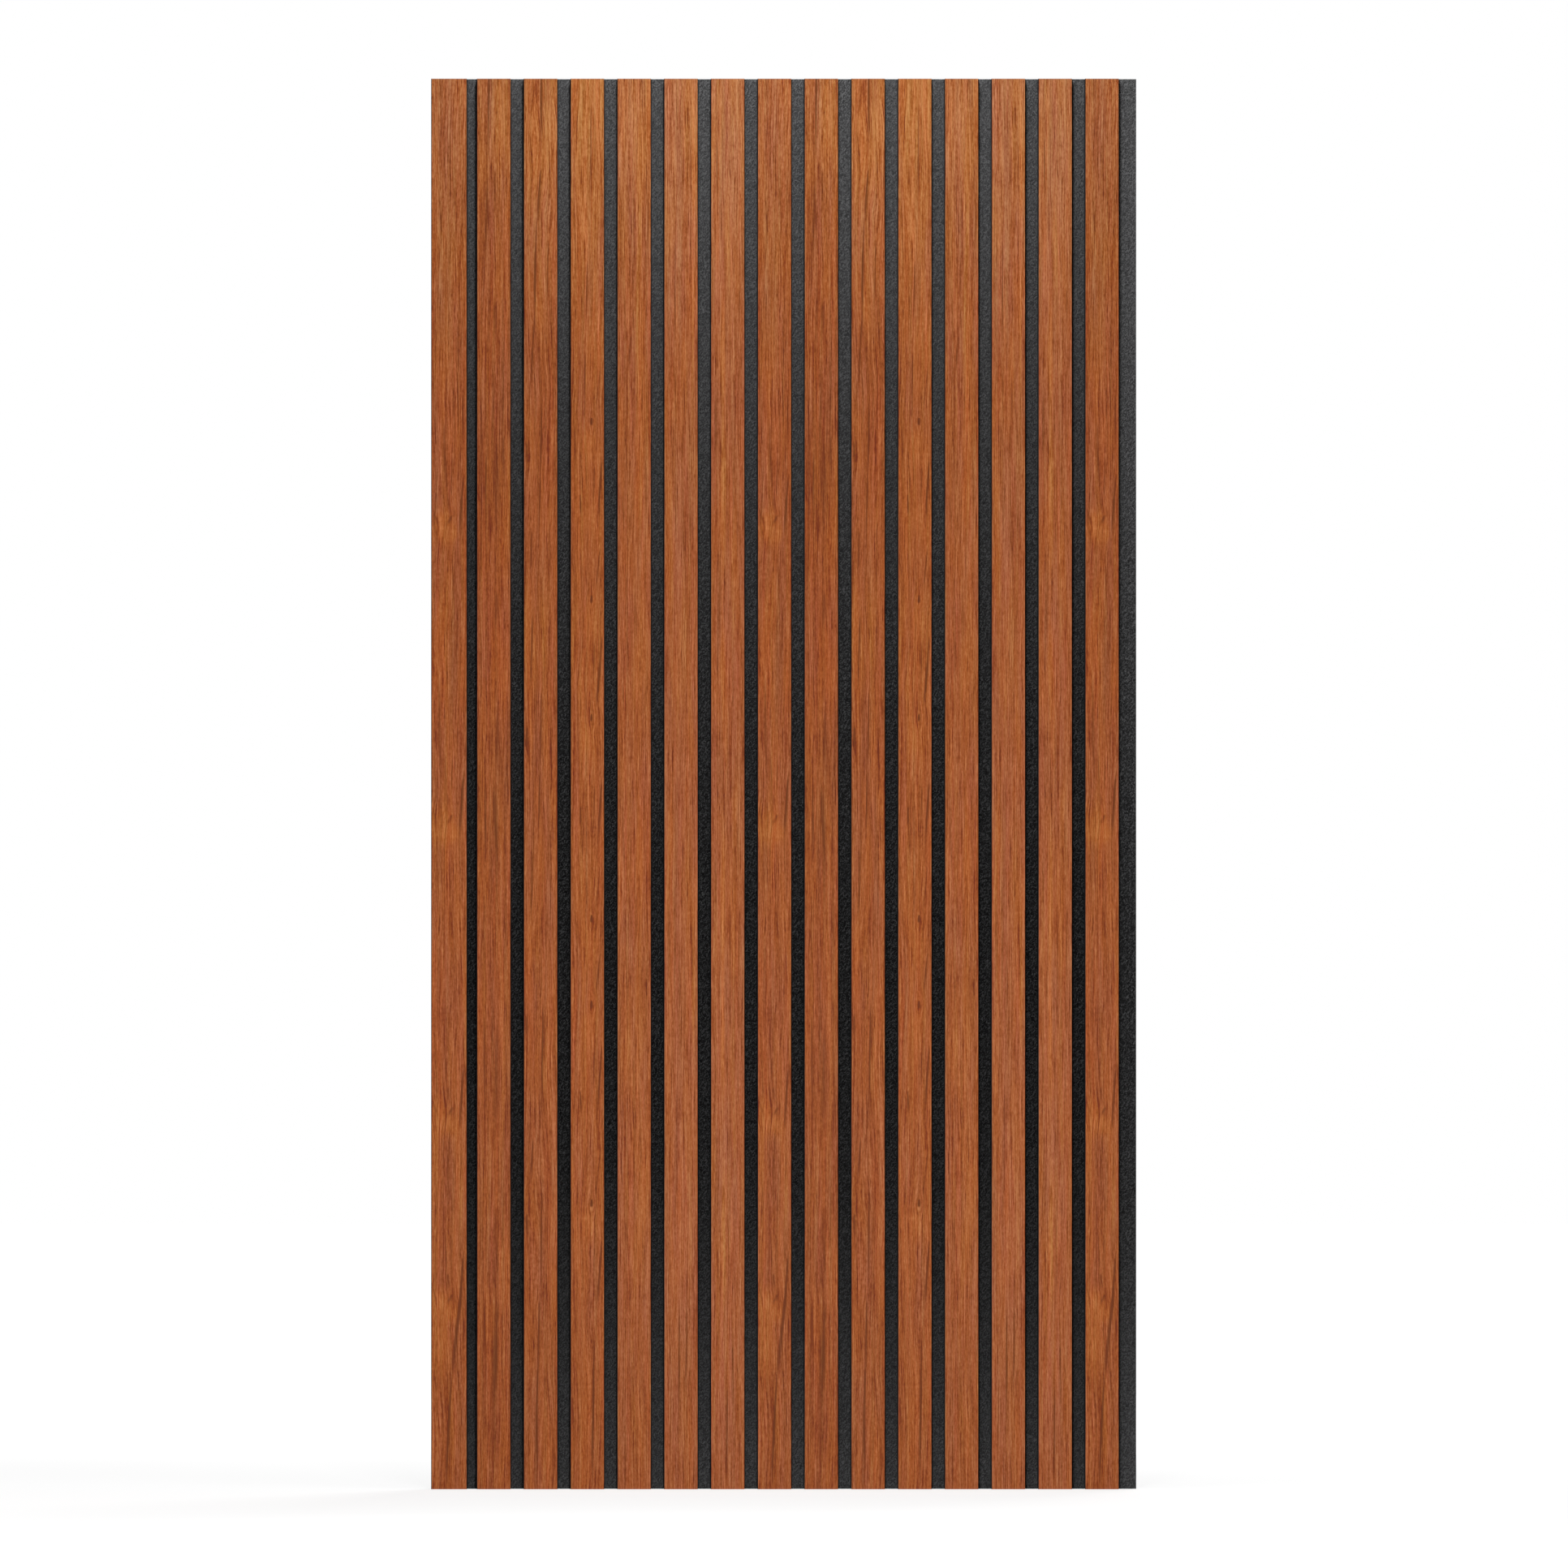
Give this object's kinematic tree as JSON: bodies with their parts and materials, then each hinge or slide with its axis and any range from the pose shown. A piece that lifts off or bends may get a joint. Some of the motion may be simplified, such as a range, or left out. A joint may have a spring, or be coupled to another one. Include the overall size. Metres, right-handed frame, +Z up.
{
  "type": "acoustic slat wall panel",
  "caption": "Upright wood-faced slats on a board of black felt, with a bare felt tab along one side, for a wall or ceiling.",
  "frame": {"origin": "middle of the felt board's back face, on the wall's surface", "axes": "+X along the wall towards the bare felt tab, +Y out of the room into the wall, +Z up along the slats"},
  "size_m": [0.6, 0.021, 1.2],
  "materials": {
    "felt": "pressed polyester felt board",
    "core": "black dyed fibreboard, sawn",
    "facing": "thin wood facing, satin lacquer",
    "staple": "galvanised wire"
  },
  "bodies": {
    "root": {"felt_board": "felt", "slat_core_01": "core", "slat_core_02": "core", "slat_core_03": "core", "slat_core_04": "core", "slat_core_05": "core", "slat_core_06": "core", "slat_core_07": "core", "slat_core_08": "core", "slat_core_09": "core", "slat_core_10": "core", "slat_core_11": "core", "slat_core_12": "core", "slat_core_13": "core", "slat_core_14": "core", "slat_core_15": "core", "slat_facing_01": "facing", "slat_facing_02": "facing", "slat_facing_03": "facing", "slat_facing_04": "facing", "slat_facing_05": "facing", "slat_facing_06": "facing", "slat_facing_07": "facing", "slat_facing_08": "facing", "slat_facing_09": "facing", "slat_facing_10": "facing", "slat_facing_11": "facing", "slat_facing_12": "facing", "slat_facing_13": "facing", "slat_facing_14": "facing", "slat_facing_15": "facing", "staples": "staple"}
  },
  "joints": []
}
